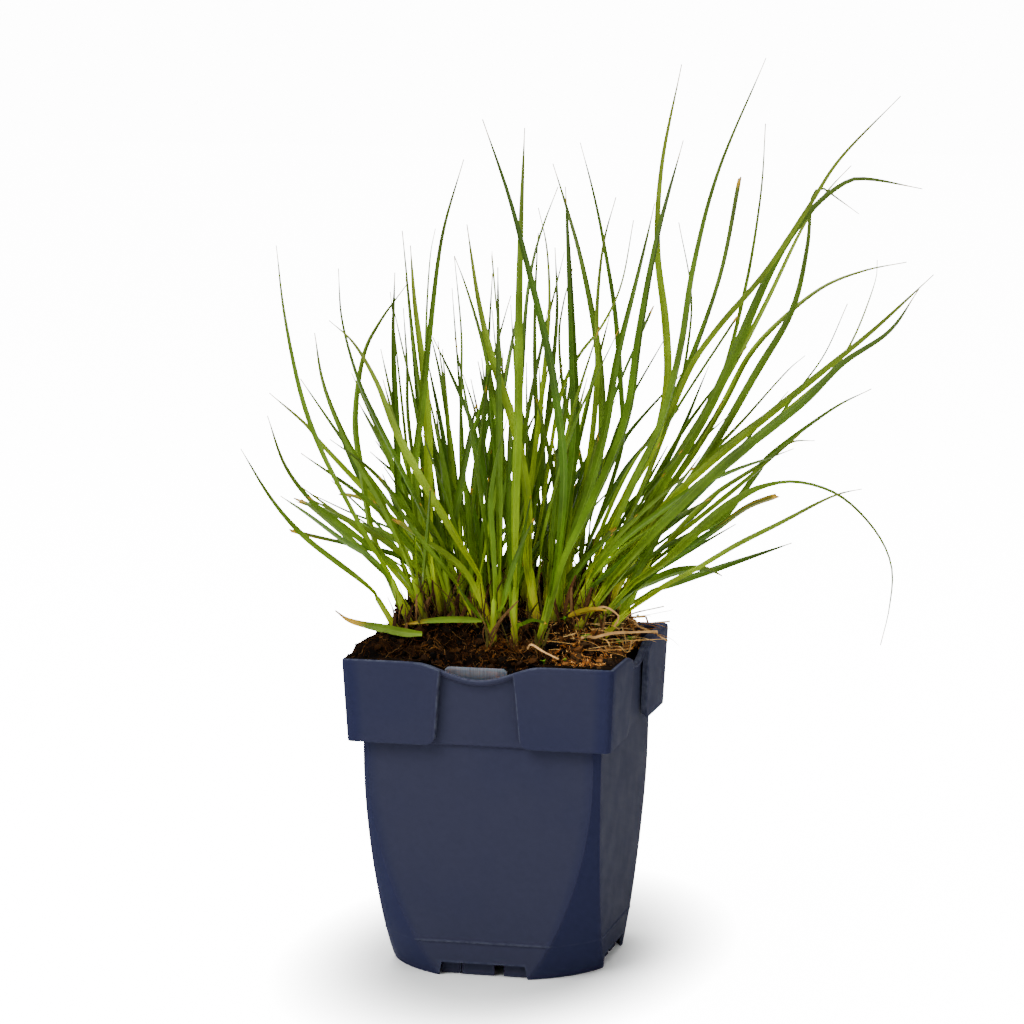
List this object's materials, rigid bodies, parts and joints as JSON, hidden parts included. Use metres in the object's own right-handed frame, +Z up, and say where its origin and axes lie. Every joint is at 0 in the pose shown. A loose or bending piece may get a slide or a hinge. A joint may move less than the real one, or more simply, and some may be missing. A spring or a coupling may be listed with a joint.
{
  "type": "potted switchgrass",
  "caption": "Clump of switchgrass in a square navy nursery pot with hanging corner flaps, dark peat soil and a pale clip on the rim.",
  "frame": {"origin": "on the ground, under the middle of the plant's footprint (the spread of its blades)", "axes": "+Z up, -Y out of the pot's front side, the one with the clip"},
  "size_m": [0.321, 0.2172, 0.4372],
  "materials": {
    "navy_plastic": "satin moulded",
    "frosted_plastic": "frosted",
    "peat": "crumbly, matt",
    "grass": "waxy leaf",
    "dry_straw": "dry, matt"
  },
  "bodies": {
    "root": {"fallen_blade_1": "grass", "fallen_blade_2": "grass", "fallen_blade_3": "grass", "label_clip": "frosted_plastic", "pot": "navy_plastic", "shoot_01": "grass", "shoot_02": "grass", "shoot_03": "grass", "shoot_04": "grass", "shoot_05": "grass", "shoot_06": "grass", "shoot_07": "grass", "shoot_08": "grass", "shoot_09": "grass", "shoot_10": "grass", "shoot_11": "grass", "shoot_12": "grass", "shoot_13": "grass", "shoot_14": "grass", "shoot_15": "grass", "shoot_16": "grass", "shoot_17": "grass", "shoot_18": "grass", "shoot_19": "grass", "shoot_20": "grass", "shoot_21": "grass", "shoot_22": "grass", "shoot_23": "grass", "shoot_24": "grass", "shoot_25": "grass", "shoot_26": "grass", "shoot_27": "grass", "shoot_28": "grass", "shoot_29": "grass", "shoot_30": "grass", "shoot_31": "grass", "shoot_32": "grass", "shoot_33": "grass", "shoot_34": "grass", "shoot_35": "grass", "shoot_36": "grass", "shoot_37": "grass", "shoot_38": "grass", "shoot_39": "grass", "shoot_40": "grass", "shoot_41": "grass", "shoot_42": "grass", "shoot_43": "grass", "soil": "peat", "straw_1": "dry_straw", "straw_2": "dry_straw", "straw_3": "dry_straw", "straw_4": "dry_straw", "straw_5": "dry_straw", "straw_6": "dry_straw"}
  },
  "joints": []
}
